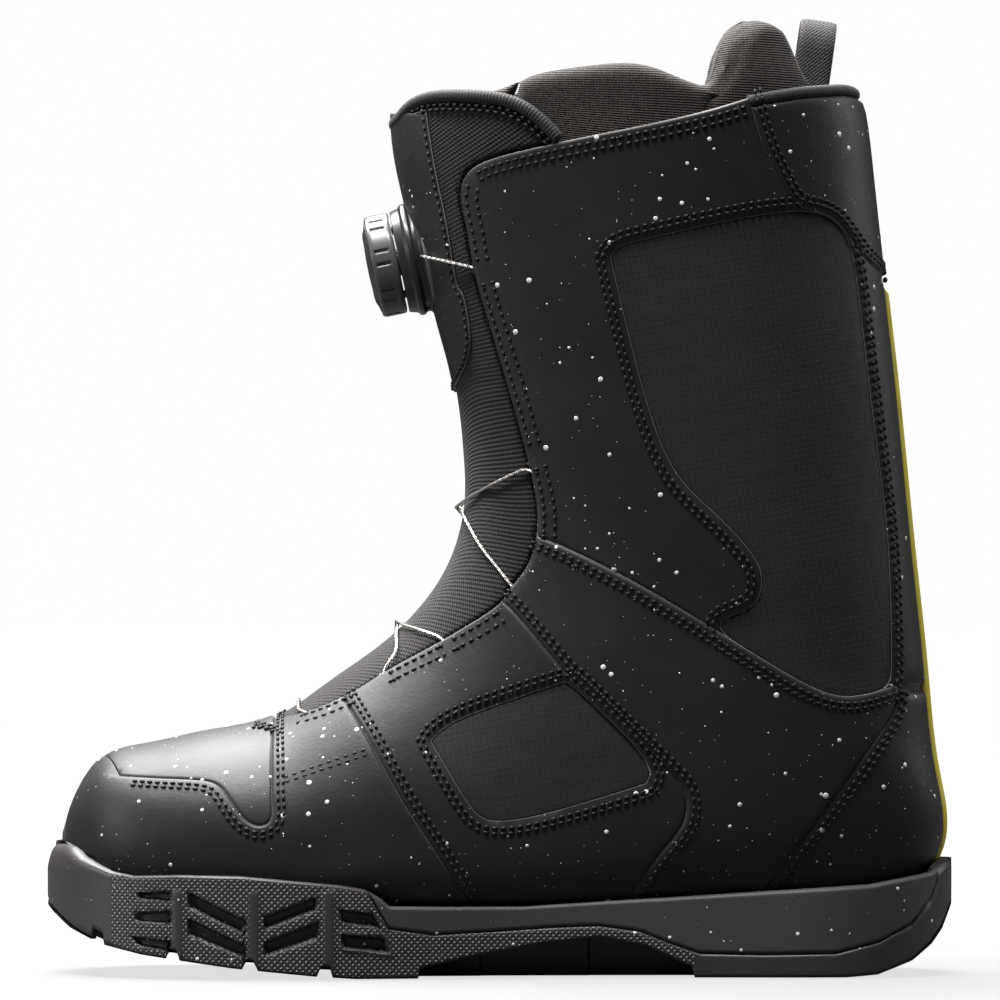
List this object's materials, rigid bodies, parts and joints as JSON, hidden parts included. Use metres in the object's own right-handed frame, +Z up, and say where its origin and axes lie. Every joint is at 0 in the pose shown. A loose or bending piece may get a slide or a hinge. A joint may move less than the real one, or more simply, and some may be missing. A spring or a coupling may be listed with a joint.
{
  "type": "snowboard boot",
  "caption": "Soft left snowboard boot with a turning lace dial on the tongue, steel lace, removable inner boot and a cupped rubber sole.",
  "frame": {"origin": "on the floor, under the middle of the outsole's bounding box", "axes": "+X from toe to heel, +Y towards the inner side of the leg, +Z up"},
  "size_m": [0.3096, 0.1142, 0.3263],
  "materials": {
    "outsole_rubber": "matt, speckled",
    "midsole_foam": "matt, speckled",
    "shank_plate": "satin glass-fibre plate",
    "upper_leather": "matt synthetic leather with white speckles",
    "backstay_leather": "matt yellow",
    "binding_cord": "corded tape",
    "ripstop": "woven with a fine grid",
    "lining_foam": "brushed lining on foam",
    "board": "fibre board",
    "liner_knit": "heathered knit",
    "footbed_foam": "cloth on foam",
    "webbing": "ribbed webbing",
    "tongue_mesh": "coarse woven mesh on foam",
    "dial_plastic": "satin",
    "spool_plastic": "satin",
    "dial_steel": "stainless",
    "knob_plastic": "polished",
    "grip_rubber": "satin",
    "tube_plastic": "satin",
    "lace_steel": "coated wire rope"
  },
  "bodies": {
    "boot": {"outsole": "outsole_rubber", "midsole": "midsole_foam", "shank": "shank_plate", "toe_rand": "upper_leather", "toe_box": "upper_leather", "vamp_lateral": "upper_leather", "vamp_medial": "upper_leather", "quarter_lateral": "upper_leather", "quarter_medial": "upper_leather", "strap_lateral": "upper_leather", "strap_medial": "upper_leather", "heel_counter_lateral": "upper_leather", "heel_counter_medial": "upper_leather", "cuff_lateral": "upper_leather", "cuff_medial": "upper_leather", "rear_collar": "upper_leather", "backstay": "backstay_leather", "collar_binding": "binding_cord", "window_upper_lateral": "ripstop", "window_upper_medial": "ripstop", "window_lower_lateral": "ripstop", "window_lower_medial": "ripstop", "lining_foot": "lining_foam", "lining_leg": "lining_foam", "collar_pad": "lining_foam", "lasting_board": "board", "liner_boot": "liner_knit", "footbed": "footbed_foam", "pull_loop": "webbing", "lace_tube_cuff_lateral": "tube_plastic", "lace_tube_cuff_medial": "tube_plastic", "lace_tube_ankle_lateral": "tube_plastic", "lace_tube_ankle_medial": "tube_plastic", "lace_tube_low_lateral": "tube_plastic", "lace_tube_low_medial": "tube_plastic", "lace": "lace_steel"},
    "tongue": {"tongue_body": "tongue_mesh", "tongue_shield": "upper_leather", "tongue_binding": "binding_cord", "dial_housing": "dial_plastic", "dial_ratchet": "dial_plastic", "dial_shaft": "dial_steel"},
    "inner_tongue": {"liner_tongue": "liner_knit"},
    "spool": {"dial_spool": "spool_plastic", "lace_wound": "lace_steel"},
    "dial_slider": {"dial_clip": "dial_steel"},
    "dial_cap": {"dial_knob": "knob_plastic", "dial_grip": "grip_rubber", "dial_pawl": "spool_plastic"}
  },
  "joints": [
    {"name": "tongue_fold", "type": "hinge", "parent": "boot", "child": "tongue", "pos_m": [-0.0765, 0, 0.0865], "axis": [0, -1, 0], "range_deg": [0, 22], "deforming": ["lace"]},
    {"name": "inner_tongue_fold", "type": "hinge", "parent": "boot", "child": "inner_tongue", "pos_m": [-0.0765, 0, 0.0865], "axis": [0, -1, 0], "range_deg": [0, 13.2]},
    {"name": "spool_turn", "type": "hinge", "parent": "tongue", "child": "spool", "pos_m": [-0.02392, 0, 0.24463], "axis": [-0.9799, 0, -0.1994], "continuous": true},
    {"name": "dial_pop", "type": "slide", "parent": "tongue", "child": "dial_slider", "axis": [-0.9799, 0, -0.1994], "range_m": [0, 0.0025]},
    {"name": "dial_turn", "type": "hinge", "parent": "dial_slider", "child": "dial_cap", "pos_m": [-0.02392, 0, 0.24463], "axis": [-0.9799, 0, -0.1994], "continuous": true}
  ],
  "couplings": [
    {"joint": "inner_tongue_fold", "follows": "tongue_fold", "ratio": 0.6},
    {"joint": "spool_turn", "follows": "dial_turn", "ratio": 1}
  ]
}
